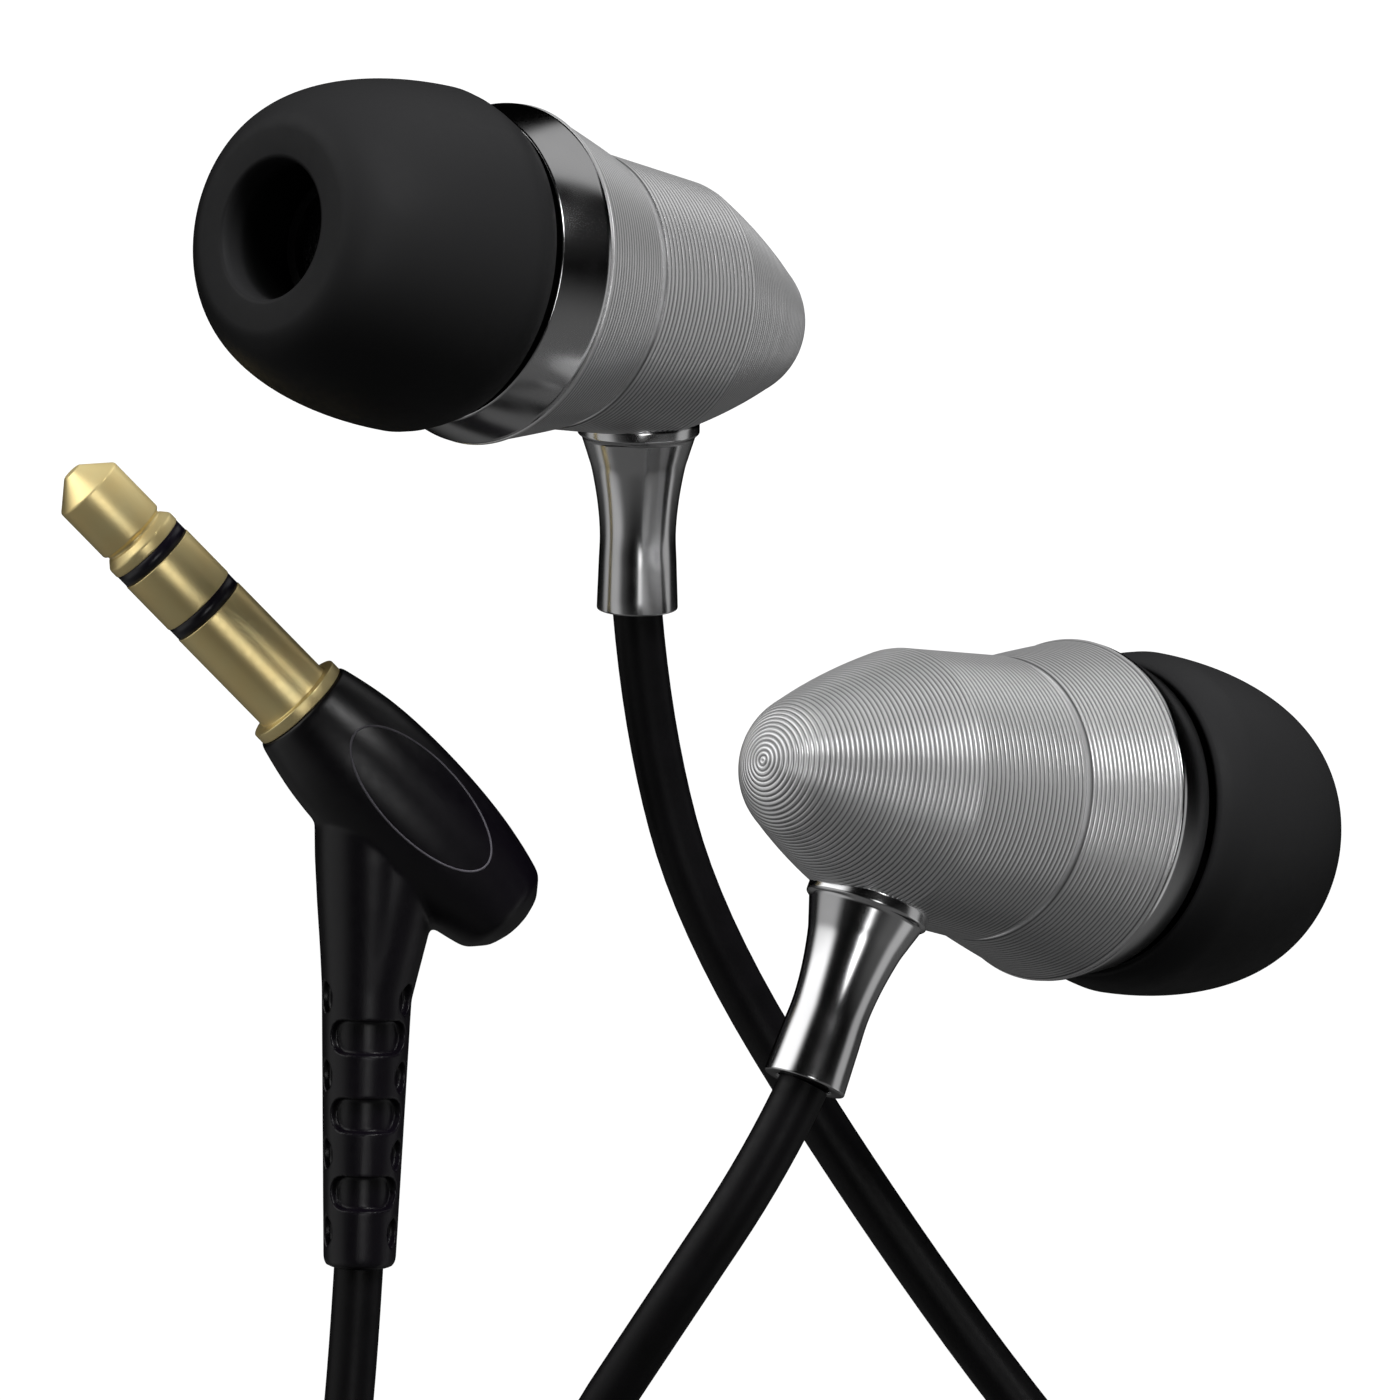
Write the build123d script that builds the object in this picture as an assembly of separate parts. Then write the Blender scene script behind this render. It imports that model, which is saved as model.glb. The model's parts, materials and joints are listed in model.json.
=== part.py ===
from build123d import *
import math
import os

# Wired in-ear earphones with an angled 3.5 mm stereo plug, lying on a table.
# Millimetres, +Z up, table at z = 0. Each earphone is built in its own frame: its axis is local Z,
# the rim where the housing is widest is at local z = 0, the nozzle points to +Z and the stem
# leaves to local -Y, leaning back by STEM_LEAN.

os.makedirs("parts", exist_ok=True)

# ---------------------------------------------------------------- driving dimensions
RIM_R = 7.1                # widest radius of the housing
HOUSING_L = 17.3           # rim to the end of the tail
NOSE_R = 3.3               # rounding of the tail
KINK = (5.5, -10.1)        # (radius, z) where the tail cone meets the mid section
SEAM = (5.9, -4.3)         # (radius, z) where rear and front shells meet
BEZEL = (6.5, 2.3)         # (radius, z) of the front edge of the chrome ring
WALL = 0.9                 # shell wall
SEAM_GAP = 0.15            # groove between the two shells

NOZZLE_R = 2.75            # outer radius of the sound tube
NOZZLE_BORE = 2.3
NOZZLE_END = 9.0
TIP_BORE = 2.82            # bore of the ear tip's core
TIP_BACK = (6.7, 2.75)     # rear edge of the ear tip's skirt
TIP_WIDE = (7.2, 4.4)      # widest place of the ear tip
TIP_FACE = (4.1, 12.5)     # edge of the flat face
TIP_WALL = 0.6

STEM_Z = -8.7              # where the stem's axis crosses the housing's axis
STEM_LEAN = 15.0           # degrees from square, towards the tail
STEM_END = 13.1            # distance of the stem's end from the housing's axis
STEM_END_R = 1.7
STEM_WAIST_R = 1.6
FLANGE_R = 2.5

CORD_D = 2.1
CORD_R = CORD_D / 2

JACK_R = 1.75              # 3.5 mm stereo jack
JACK_L = 14.0
HANDLE_L = 13.2            # length of the handle along the jack's axis

COIL_LIFT = 0.5            # the ties hold the coils this far off the table

# ---------------------------------------------------------------- helpers


def unit(v):
    """The vector at length 1."""
    return Vector(*v).normalized()


def lathe(points):
    """Solid of revolution about local Z from (radius, z) corners."""
    face = make_face(Polyline([(r, 0, z) for r, z in points], close=True))
    return revolve(face, Axis.Z, 360)


def disc(radius, z_low, z_high, bore=0.0):
    """Flat disc or ring about local Z."""
    body = Pos(0, 0, (z_low + z_high) / 2) * Cylinder(radius, z_high - z_low)
    if bore:
        body -= Pos(0, 0, (z_low + z_high) / 2) * Cylinder(bore, z_high - z_low + 1)
    return body


def save(name, shape):
    """Write one node."""
    solids = shape.solids()
    result = solids[0] if len(solids) == 1 else Compound(solids)
    export_step(result, "parts/" + name + ".step")


def corner_radii(points):
    """Bend radius at each inner corner: tangent arcs over 0.45 of the shorter run."""
    radii = []
    for a, b, c in zip(points, points[1:], points[2:]):
        before = Vector(*b) - Vector(*a)
        after = Vector(*c) - Vector(*b)
        half_turn = math.radians(before.get_angle(after)) / 2
        radii.append(0.45 * min(before.length, after.length) / math.tan(half_turn))
    return radii


def cord_tube(name, points):
    """Round cord along straight runs and tangent arcs; returns its length."""
    radii = corner_radii(points)
    path = FilletPolyline(points, radius=radii)
    tube = sweep(Plane(path @ 0, z_dir=path % 0) * Circle(CORD_R), path=path)
    ratio = tube.volume / (math.pi * CORD_R ** 2 * path.length)
    radii_text = " ".join(f"{r:.1f}" for r in radii)
    print(f"{name}: length {path.length:.1f}, radii {radii_text}, volume ratio {ratio:.3f}")
    save(name, tube)
    return path.length


# ---------------------------------------------------------------- earphone, in its own frame
STEM_DIR = Vector(0, -math.cos(math.radians(STEM_LEAN)), -math.sin(math.radians(STEM_LEAN)))
STEM_BASE = Vector(0, 0, STEM_Z)
STEM_PLANE = Plane(STEM_BASE, x_dir=(1, 0, 0), z_dir=STEM_DIR)


def tail_profile(inset):
    """Outline of the rear shell from the tail's end to the seam, moved in by inset."""
    nose = NOSE_R - inset
    nose_z = -HOUSING_L + NOSE_R
    slope = math.radians(65)
    cone_start = (nose * math.sin(slope), nose_z - nose * math.cos(slope))
    kink = (KINK[0] - inset, KINK[1])
    seam = (SEAM[0] - inset, SEAM[1] - SEAM_GAP / 2)
    arc_mid = (nose * math.sin(slope / 2), nose_z - nose * math.cos(slope / 2))
    cone_mid = ((cone_start[0] + kink[0]) / 2 + 0.10, (cone_start[1] + kink[1]) / 2 - 0.07)
    return (0, nose_z - nose), arc_mid, cone_start, cone_mid, kink, seam


def tail_solid(inset):
    """Solid of the rear shell's outline, moved in by inset."""
    end, arc_mid, cone_start, cone_mid, kink, seam = tail_profile(inset)
    at = [Vector(p[0], 0, p[1]) for p in (end, arc_mid, cone_start, cone_mid, kink, seam)]
    top = Vector(0, 0, seam[1])
    outline = [
        ThreePointArc(at[0], at[1], at[2]),
        ThreePointArc(at[2], at[3], at[4]),
        Line(at[4], at[5]),
        Line(at[5], top),
        Line(top, at[0]),
    ]
    return revolve(make_face(outline), Axis.Z, 360)


def stem_cylinder(radius, start, end):
    """Cylinder along the stem's axis between two distances from the housing's axis."""
    return STEM_PLANE * Pos(0, 0, (start + end) / 2) * Cylinder(radius, end - start)


def rear_shell():
    shell = tail_solid(0) - tail_solid(WALL)
    return shell - stem_cylinder(STEM_WAIST_R, 3.0, 9.0)


def front_shell():
    """Flared shell from the seam to the rim, with a spigot that enters the rear shell."""
    seam_z = SEAM[1] + SEAM_GAP / 2
    spigot_r = SEAM[0] - WALL - 0.14
    return lathe([
        (SEAM[0], seam_z), (RIM_R - 0.12, -0.35), (RIM_R, -0.2), (RIM_R, -0.02),
        (5.7, -0.02), (5.7, -1.0), (5.1, -2.0), (5.1, -2.32), (4.58, -2.32), (4.58, SEAM[1] - 1.2),
        (spigot_r, SEAM[1] - 1.2), (spigot_r, seam_z),
    ])


def bezel_ring():
    """Chrome ring that faces the ear tip."""
    return lathe([(RIM_R, 0), (RIM_R, 0.25), BEZEL, (5.9, 2.3), (5.9, 0.55), (5.7, 0.55), (5.7, 0)])


def nozzle():
    """Front plate and sound tube in one moulding."""
    return lathe([
        (5.88, 0.6), (5.88, 1.9), (NOZZLE_R + 0.5, 2.3), (NOZZLE_R, 2.6), (NOZZLE_R, NOZZLE_END),
        (NOZZLE_BORE, NOZZLE_END), (NOZZLE_BORE, 1.6), (4.9, 0.95), (4.9, 0.6),
    ])


def nozzle_mesh():
    return disc(NOZZLE_BORE - 0.01, NOZZLE_END - 0.6, NOZZLE_END - 0.45)


def ear_tip():
    """Silicone tip: a core on the sound tube and a mushroom skirt folded back from its face."""
    def dome(inset):
        back = Vector(TIP_BACK[0] - inset, 0, TIP_BACK[1])
        wide = Vector(TIP_WIDE[0] - inset, 0, TIP_WIDE[1])
        rise = TIP_FACE[1] - inset - TIP_WIDE[1]
        reach = TIP_WIDE[0] - TIP_FACE[0]
        crown = Vector(TIP_FACE[0] - inset, 0, TIP_FACE[1] - inset)
        share = math.radians(50)
        mid = Vector(crown.X + reach * math.cos(share), 0, wide.Z + rise * math.sin(share))
        outline = [
            Line(back, wide),
            Spline([wide, mid, crown], tangents=[(0.0, 0, 1), (-1, 0, 0.05)]),
            Line(crown, (0, 0, crown.Z)),
            Line((0, 0, crown.Z), (0, 0, back.Z)),
            Line((0, 0, back.Z), back),
        ]
        return revolve(make_face(outline), Axis.Z, 360)
    core = disc(TIP_BORE + 0.8, TIP_BACK[1] + 0.6, TIP_FACE[1] - 0.3)
    return dome(0) - dome(TIP_WALL) + core - disc(TIP_BORE, 0, 20)


def driver_frame():
    return disc(4.55, -3.6, -2.25, bore=3.7) + disc(5.0, -2.15, -0.1, bore=4.75) + disc(5.0, -2.3, -2.1, bore=3.7)


def yoke():
    return disc(3.65, -3.9, -1.6) - disc(3.15, -3.4, 0)


def magnet():
    return disc(2.5, -3.4, -2.2)


def top_plate():
    return disc(2.65, -2.2, -1.7)


def voice_coil():
    return disc(2.98, -2.4, -0.9, bore=2.8)


def diaphragm():
    """Domed film with a rolled surround, stuck to the voice coil."""
    return lathe([
        (0, -0.35), (1.6, -0.5), (2.6, -0.9), (3.0, -0.9), (3.6, -0.55), (4.1, -0.55), (4.6, -0.75),
        (4.6, -0.63), (4.1, -0.43), (3.6, -0.43), (3.0, -0.78), (2.6, -0.78), (1.6, -0.38), (0, -0.23),
    ])


def driver_cover():
    """Perforated cover in front of the diaphragm."""
    cover = disc(5.0, 0.1, 0.35)
    for ring_r, count in ((1.6, 6), (3.3, 12)):
        for k in range(count):
            turn = math.radians(360 / count * k)
            hole = Pos(ring_r * math.cos(turn), ring_r * math.sin(turn), 0) * Cylinder(0.45, 3)
            cover -= hole
    return cover


def terminal_board():
    board = disc(3.2, -4.7, -4.1, bore=0.6)
    for side in (-1, 1):
        board += Pos(side * 1.6, -1.2, -4.8) * Cylinder(0.5, 0.3)
    return board


def rear_damper():
    return disc(2.4, -4.05, -3.92)


def lead_wires():
    """Two insulated wires from the knot to the solder pads."""
    wires = []
    for side in (-1, 1):
        points = [(side * 0.5, -2.6, -9.2), (side * 1.2, -2.4, -7.0), (side * 1.6, -1.2, -4.95)]
        path = FilletPolyline(points, radius=corner_radii(points))
        wires += sweep(Plane(path @ 0, z_dir=path % 0) * Circle(0.22), path=path).solids()
    return Compound(wires)


def cord_knot():
    """Knot and crimp that keep a tug on the cord away from the solder."""
    return STEM_PLANE * Pos(0, 0, 3.0) * Cylinder(1.45, 1.6)


def stem_tube():
    """Chrome stem with a trumpet mouth against the rear shell."""
    def ring(radius, at):
        return Vector(radius, 0, at)
    outline = [
        Line(ring(0, 3.9), ring(FLANGE_R, 3.9)),
        Line(ring(FLANGE_R, 3.9), ring(FLANGE_R, 5.45)),
        ThreePointArc(ring(FLANGE_R, 5.45), ring(1.86, 6.6), ring(STEM_WAIST_R, 8.4)),
        Line(ring(STEM_WAIST_R, 8.4), ring(STEM_END_R, STEM_END)),
        Line(ring(STEM_END_R, STEM_END), ring(0, STEM_END)),
        Line(ring(0, STEM_END), ring(0, 3.9)),
    ]
    tube = STEM_PLANE * revolve(make_face(outline), Axis.Z, 360)
    return tube - stem_cylinder(CORD_R + 0.02, 3.0, 14.0) - tail_solid(0)


def stem_cord():
    """Cord inside the stem, from the knot to the stem's end."""
    return stem_cylinder(CORD_R, 3.85, STEM_END)


EAR_PARTS = {
    "rear_shell": rear_shell, "front_shell": front_shell, "bezel_ring": bezel_ring,
    "nozzle": nozzle, "nozzle_mesh": nozzle_mesh, "ear_tip": ear_tip,
    "driver_frame": driver_frame, "yoke": yoke, "magnet": magnet, "top_plate": top_plate,
    "voice_coil": voice_coil, "diaphragm": diaphragm, "driver_cover": driver_cover,
    "terminal_board": terminal_board, "rear_damper": rear_damper, "lead_wires": lead_wires,
    "cord_knot": cord_knot, "stem_tube": stem_tube, "stem_cord": stem_cord,
}

# ---------------------------------------------------------------- where the earphones lie


def ear_plane(rim_centre, nozzle_dir, stem_dir):
    """Plane of an earphone's own frame: z along the nozzle, -y towards the stem."""
    z_dir = unit(nozzle_dir)
    radial = (unit(stem_dir) - z_dir * unit(stem_dir).dot(z_dir)).normalized()
    x_dir = (radial * -1).cross(z_dir)
    return Plane(Vector(*rim_centre), x_dir=x_dir, z_dir=z_dir)


EAR_PLANES = {
    "left": ear_plane((-11.73, 13.04, 13.18), (-0.700, 0.113, 0.705), (-0.012, -0.976, -0.217)),
    "right": ear_plane((11.67, -9.16, 12.17), (0.709, -0.123, -0.694), (-0.336, -0.921, 0.195)),
}


def build_earphones():
    """Both earphones; returns where and in which direction each cord leaves its stem."""
    exits = {}
    for part_name, maker in EAR_PARTS.items():
        piece = maker()
        for side, plane in EAR_PLANES.items():
            save(side + "_" + part_name, plane.location * piece)
    for side, plane in EAR_PLANES.items():
        end = plane.from_local_coords(STEM_BASE + STEM_DIR * STEM_END)
        base = plane.from_local_coords(STEM_BASE)
        exits[side] = (end, (end - base).normalized())
    return exits


# ---------------------------------------------------------------- plug
COLLAR_AT = Vector(-19.95, -4.86, 4.9)
JACK_RISE = math.radians(12)
JACK_DIR = Vector(-0.695 * math.cos(JACK_RISE), 0.719 * math.cos(JACK_RISE), math.sin(JACK_RISE))
RELIEF_TOP = Vector(-16.96, -7.8, 4.0)
RELIEF_END = Vector(-17.61, -28.7, 1.75)
RELIEF_R = 1.93            # radius where the slots begin
RELIEF_END_R = 1.54
SLOT_PITCH = 3.35
SLOT_H = 1.4
SLOT_DEPTH = 0.4

JACK_PLANE = Plane(COLLAR_AT, x_dir=JACK_DIR.cross(Vector(0, 0, 1)), z_dir=JACK_DIR)
BACK_PLANE = Plane(COLLAR_AT, x_dir=JACK_DIR.cross(Vector(0, 0, 1)), z_dir=JACK_DIR * -1)


def barrel(grow):
    """Handle's barrel about the jack's axis, grown by a margin."""
    def at(radius, z):
        return Vector(radius, 0, z)
    g = grow
    outline = [
        Line(at(0, -g), at(2.35 + g, -g)),
        Spline([at(2.35 + g, -g), at(2.85 + g, 2.2), at(3.05 + g, 5.4), at(2.9 + g, 9.0), at(2.3 + g, 12.0)]),
        ThreePointArc(at(2.3 + g, 12.0), at(1.75 + g, 12.75), at(0.9, HANDLE_L + g)),
        Line(at(0.9, HANDLE_L + g), at(0, HANDLE_L + g)),
        Line(at(0, HANDLE_L + g), at(0, -g)),
    ]
    return BACK_PLANE * revolve(make_face(outline), Axis.Z, 360)


RELIEF_DIR = (RELIEF_END - RELIEF_TOP).normalized()
RELIEF_L = (RELIEF_END - RELIEF_TOP).length
RELIEF_PLANE = Plane(RELIEF_TOP, x_dir=(1, 0, 0), z_dir=RELIEF_DIR)


def relief_radius(along):
    """Radius of the slotted part of the strain relief."""
    return RELIEF_R + (RELIEF_END_R - RELIEF_R) * (along - 9.0) / (RELIEF_L - 9.0)


def relief_cone():
    """Tapered strain relief that grows out of the barrel."""
    def at(radius, z):
        return Vector(radius, 0, z)
    outline = [
        Line(at(0, 0), at(2.45, 0)),
        Spline([at(2.45, 0), at(2.37, 3.5), at(RELIEF_R, 9.0)], tangents=[(0, 0, 1), (-0.05, 0, 1)]),
        Line(at(RELIEF_R, 9.0), at(RELIEF_END_R, RELIEF_L - 0.25)),
        Line(at(RELIEF_END_R, RELIEF_L - 0.25), at(RELIEF_END_R - 0.25, RELIEF_L)),
        Line(at(RELIEF_END_R - 0.25, RELIEF_L), at(0, RELIEF_L)),
        Line(at(0, RELIEF_L), at(0, 0)),
    ]
    return RELIEF_PLANE * revolve(make_face(outline), Axis.Z, 360)


def relief_web():
    """Cone that widens the strain relief towards the barrel's far end."""
    low = RELIEF_TOP + RELIEF_DIR * 3.0 + Vector(1.2, 0, 0)
    high = RELIEF_TOP + RELIEF_DIR * 9.2
    way = high - low
    return Plane(low, z_dir=way) * Pos(0, 0, way.length / 2) * Cone(2.1, RELIEF_R - 0.01, way.length)


def relief_slots():
    """Curved pockets in the strain relief: wide ones on top and below, small ones between them."""
    def pocket(middle, spread, along):
        inner = relief_radius(along) - SLOT_DEPTH
        section = Pos(inner + 0.5, 0, along) * (Plane.XZ * Rectangle(1.0, SLOT_H))
        return RELIEF_PLANE * Rot(0, 0, middle - spread / 2) * revolve(section, Axis.Z, spread)

    cuts = []
    for row in range(3):
        cuts += [pocket(middle, 108, 11.0 + SLOT_PITCH * row) for middle in (90, 270)]
    for row in range(4):
        cuts += [pocket(middle, 28, 9.4 + SLOT_PITCH * row) for middle in (25, 155, 205, 335)]
    return cuts


def oval_ring(half_long, half_short):
    """Elliptical column through the top of the barrel, seen square from above the handle."""
    along = JACK_DIR * -1
    up = (Vector(0, 0, 1) - along * along.Z).normalized()
    centre = COLLAR_AT + along * 5.95 + along.cross(up) * -0.95
    face = Plane(centre, x_dir=along, z_dir=up) * Ellipse(half_long, half_short)
    return extrude(face, 6)


def build_plug():
    """Jack contacts with their insulators, moulded core and handle, and the oval trim line."""
    def on_jack(shape):
        return JACK_PLANE * shape

    tip_contact = lathe([
        (0, 9.2), (1.3, 9.2), (1.3, 9.45), (JACK_R, 9.45), (JACK_R, 9.85), (1.45, 10.15), (1.45, 10.3),
        (1.56, 10.45), (1.56, 13.0), (0.42, JACK_L), (0, JACK_L),
    ]) + disc(0.55, -1.6, 9.3)
    ring_contact = disc(JACK_R, 6.3, 8.85, bore=1.3) + disc(1.0, -1.2, 6.4, bore=0.85)
    ring_contact += disc(1.4, 6.3, 6.9, bore=0.9)
    sleeve = disc(JACK_R, 0.5, 5.7, bore=1.3) + disc(2.25, 0.0, 0.5, bore=1.3)
    sleeve += disc(2.0, -1.0, 0.0, bore=1.3)
    insulators = disc(JACK_R, 5.7, 6.3, bore=1.0) + disc(1.3, -1.0, 5.7, bore=1.0)
    insulators += disc(JACK_R, 8.85, 9.45, bore=1.3) + disc(1.3, 6.9, 9.2, bore=0.56)
    insulators += disc(0.85, -1.2, 6.9, bore=0.56)
    lugs = disc(1.15, -1.8, -1.2, bore=0.56) + Pos(1.5, 0, -1.6) * Box(0.8, 1.0, 1.2)
    core = BACK_PLANE * disc(2.0, 2.4, 8.5)
    save("jack_sleeve", on_jack(sleeve))
    save("jack_ring", on_jack(ring_contact))
    save("jack_tip", on_jack(tip_contact))
    save("jack_insulators", on_jack(insulators))
    save("solder_lugs", on_jack(lugs))
    save("plug_core", core)

    trim_band = (barrel(0.03) - barrel(-0.12)) & (oval_ring(4.0, 1.65) - oval_ring(3.9, 1.55))
    relief = relief_cone() + relief_web()
    handle = barrel(0) + relief
    handle = fillet(new_edges(barrel(0), relief, combined=handle), 0.8)
    for cut in relief_slots():
        handle -= cut
    handle -= on_jack(disc(2.02, -2.4, 0.1))
    handle -= RELIEF_PLANE * Pos(0, 0, RELIEF_L - 1.5) * Cylinder(CORD_R, 3.1)
    handle -= core
    handle -= trim_band
    save("plug_handle", handle)
    save("handle_oval_trim", trim_band)


# ---------------------------------------------------------------- cord: splitter, coils, ties
BRANCH_COIL_AT = (12.1, -57.6)
BRANCH_COIL_R = 13.3
BRANCH_TURNS = 2.0         # turns in one layer
MAIN_COIL_AT = (-18.3, -58.6)
MAIN_COIL_R = 14.35
MAIN_TURNS = 2.5
MAIN_LAYERS = 4
SPLITTER_IN = 5.9
SPLITTER_OUT = -8.1
SPLITTER_Y = -74.6
SPLITTER_Z = 2.2


def layer_z(layer):
    """Height of the cord's centre in one layer of a coil, counted from 0."""
    return COIL_LIFT + CORD_R + CORD_D * layer


def on_ring(centre, radius, degrees, z):
    """Point on a coil's circle."""
    turn = math.radians(degrees)
    return (centre[0] + radius * math.cos(turn), centre[1] + radius * math.sin(turn), z)


def coil_body(centre, outer_r, turns, low_layer, high_layer):
    """Plain ring of a coil's outer shape."""
    low = layer_z(low_layer) - CORD_R
    high = layer_z(high_layer) + CORD_R
    inner_r = outer_r - CORD_D * turns - CORD_R
    return Pos(centre[0], centre[1], 0) * disc(outer_r + CORD_R, low, high, bore=inner_r)


def coil_tie(centre, outer_r, turns, layers, degrees):
    """Tie wrapped about a coil's section."""
    wide = CORD_D * (turns + 1) + 0.3
    tall = CORD_D * layers
    middle = on_ring(centre, outer_r - CORD_D * turns / 2, degrees, COIL_LIFT + tall / 2)
    band = Box(wide + 1.0, 2.6, tall + 0.96) - Box(wide + 0.06, 5, tall + 0.02)
    return Location(middle, (0, 0, degrees)) * band


def build_splitter():
    """Moulded Y where the two earphone cords become one."""
    length = SPLITTER_IN - SPLITTER_OUT
    outline = [(0, 3.5), (0.45 * length, 3.3), (length, 2.0), (length, -2.0), (0.45 * length, -3.3), (0, -3.5)]
    face = make_face(Polyline(outline, close=True))
    body = extrude(face, SPLITTER_Z * 2 - 0.2)
    body = fillet(body.edges().filter_by(Axis.Z), 0.8)
    body = fillet(body.faces().sort_by(Axis.Z)[-1].edges(), 0.7)
    body = Location((SPLITTER_IN, SPLITTER_Y, 0.1), (0, 0, 180)) * body
    for offset in (-1.6, 1.6):
        body -= Pos(SPLITTER_IN - 1.5, SPLITTER_Y + offset, SPLITTER_Z) * Rot(0, 90, 0) * Cylinder(CORD_R, 3.01)
    body -= Pos(SPLITTER_OUT + 1.5, SPLITTER_Y, SPLITTER_Z) * Rot(0, 90, 0) * Cylinder(CORD_R, 3.01)
    save("cord_splitter", body)


def build_cord(exits):
    """Cord tubes, coils, ties and splitter; prints each cord's whole length."""
    left_end, left_dir = exits["left"]
    right_end, right_dir = exits["right"]
    left_start = tuple(left_end + left_dir * 0.02)
    right_start = tuple(right_end + right_dir * 0.02)
    left_front = [
        left_start, (-5.35, -5.8, 2.9), (-3.1, -14.2, 1.05), (3.5, -25.0, 1.05),
        (11.6, -36.3, 1.05), on_ring(BRANCH_COIL_AT, BRANCH_COIL_R, 35.0, layer_z(0)),
    ]
    right_front = [
        right_start, (-0.4, -23.35, 21.2), (-4.4, -29.4, 19.7), (-9.4, -37.2, 15.6),
        (-5.1, -45.8, 12.6), (3.1, -46.8, 9.9), on_ring(BRANCH_COIL_AT, BRANCH_COIL_R, 90.0, layer_z(3)),
    ]
    left_back = [
        on_ring(BRANCH_COIL_AT, BRANCH_COIL_R, 300.0, layer_z(1)), (11.8, -73.0, 2.6),
        (SPLITTER_IN - 3.0, SPLITTER_Y + 1.6, SPLITTER_Z),
    ]
    right_back = [
        on_ring(BRANCH_COIL_AT, BRANCH_COIL_R, 330.0, layer_z(2)), (16.5, -76.2, 3.4),
        (SPLITTER_IN - 3.0, SPLITTER_Y - 1.6, SPLITTER_Z),
    ]
    main_back = [
        (SPLITTER_OUT + 3.0, SPLITTER_Y, SPLITTER_Z), (-16.1, -76.0, 3.0), (-24.7, -73.6, 5.6),
        on_ring(MAIN_COIL_AT, MAIN_COIL_R, 210.0, layer_z(3)),
    ]
    main_front = [
        on_ring(MAIN_COIL_AT, MAIN_COIL_R, 129.5, layer_z(0)), (-18.8, -40.6, 1.05),
        (-17.95, -34.0, 1.3), tuple(RELIEF_END - RELIEF_DIR * 3.0),
    ]
    left_run = cord_tube("left_cord_front", left_front) + cord_tube("left_cord_back", left_back)
    right_run = cord_tube("right_cord_front", right_front) + cord_tube("right_cord_back", right_back)
    main_run = cord_tube("main_cord_back", main_back) + cord_tube("main_cord_front", main_front)

    branch_mid = BRANCH_COIL_R - CORD_D * BRANCH_TURNS / 2
    main_mid = MAIN_COIL_R - CORD_D * MAIN_TURNS / 2
    left_wound = 2 * math.pi * branch_mid * (2 * BRANCH_TURNS + 95 / 360)
    right_wound = 2 * math.pi * branch_mid * (2 * BRANCH_TURNS + 120 / 360)
    main_wound = 2 * math.pi * main_mid * (MAIN_LAYERS * MAIN_TURNS + 80.5 / 360)
    print(f"left cord {left_run + left_wound:.0f}, right cord {right_run + right_wound:.0f}")
    print(f"main cord {main_run + main_wound:.0f}")

    save("left_cord_coil", coil_body(BRANCH_COIL_AT, BRANCH_COIL_R, BRANCH_TURNS, 0, 1))
    save("right_cord_coil", coil_body(BRANCH_COIL_AT, BRANCH_COIL_R, BRANCH_TURNS, 2, 3))
    save("main_cord_coil", coil_body(MAIN_COIL_AT, MAIN_COIL_R, MAIN_TURNS, 0, 3))
    branch_ties = [coil_tie(BRANCH_COIL_AT, BRANCH_COIL_R, BRANCH_TURNS, 4, a) for a in (180, 0)]
    main_ties = [coil_tie(MAIN_COIL_AT, MAIN_COIL_R, MAIN_TURNS, 4, a) for a in (165, 345)]
    save("branch_coil_ties", Compound([s for t in branch_ties for s in t.solids()]))
    save("main_coil_ties", Compound([s for t in main_ties for s in t.solids()]))


cord_exits = build_earphones()
for side_name, (exit_at, exit_dir) in cord_exits.items():
    print(side_name, "cord leaves at", exit_at, "towards", exit_dir)
build_plug()
build_splitter()
build_cord(cord_exits)
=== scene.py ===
import json
import math

import bmesh
import bpy
from mathutils import Matrix, Vector
from mathutils.bvhtree import BVHTree

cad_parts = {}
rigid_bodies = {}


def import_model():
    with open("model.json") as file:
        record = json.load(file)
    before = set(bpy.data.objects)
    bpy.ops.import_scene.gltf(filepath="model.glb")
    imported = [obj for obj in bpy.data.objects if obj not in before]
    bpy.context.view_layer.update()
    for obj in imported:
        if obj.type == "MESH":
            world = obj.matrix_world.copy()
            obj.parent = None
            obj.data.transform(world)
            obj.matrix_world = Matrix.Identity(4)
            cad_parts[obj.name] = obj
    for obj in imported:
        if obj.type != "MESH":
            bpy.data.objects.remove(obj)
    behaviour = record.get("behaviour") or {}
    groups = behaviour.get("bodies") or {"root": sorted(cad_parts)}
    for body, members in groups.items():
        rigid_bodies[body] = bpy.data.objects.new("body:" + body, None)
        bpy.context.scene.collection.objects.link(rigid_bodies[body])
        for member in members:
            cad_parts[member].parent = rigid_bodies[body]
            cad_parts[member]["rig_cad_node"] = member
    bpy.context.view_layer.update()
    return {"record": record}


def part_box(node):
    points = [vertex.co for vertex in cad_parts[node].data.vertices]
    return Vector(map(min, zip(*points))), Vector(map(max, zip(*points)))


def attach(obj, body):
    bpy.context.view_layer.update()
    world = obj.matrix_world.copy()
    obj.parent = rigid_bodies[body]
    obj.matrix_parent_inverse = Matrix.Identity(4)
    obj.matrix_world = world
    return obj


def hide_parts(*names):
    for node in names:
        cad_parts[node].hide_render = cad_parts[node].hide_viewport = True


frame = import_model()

# Wired earphones over a white table, seen from straight above. Metres, +Z up. Outlines of turned pieces are
# (radius, height) in millimetres in the piece's own frame, and a matrix puts the frame in its place.

MM = 0.001
ROOT = "earphones_and_cord"
SIDES = ("left", "right")

# ---------------------------------------------------------------- frames taken from the CAD


def node_centre(node):
    """Middle of a node's box."""
    low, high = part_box(node)
    return (Vector(low) + Vector(high)) / 2


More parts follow.
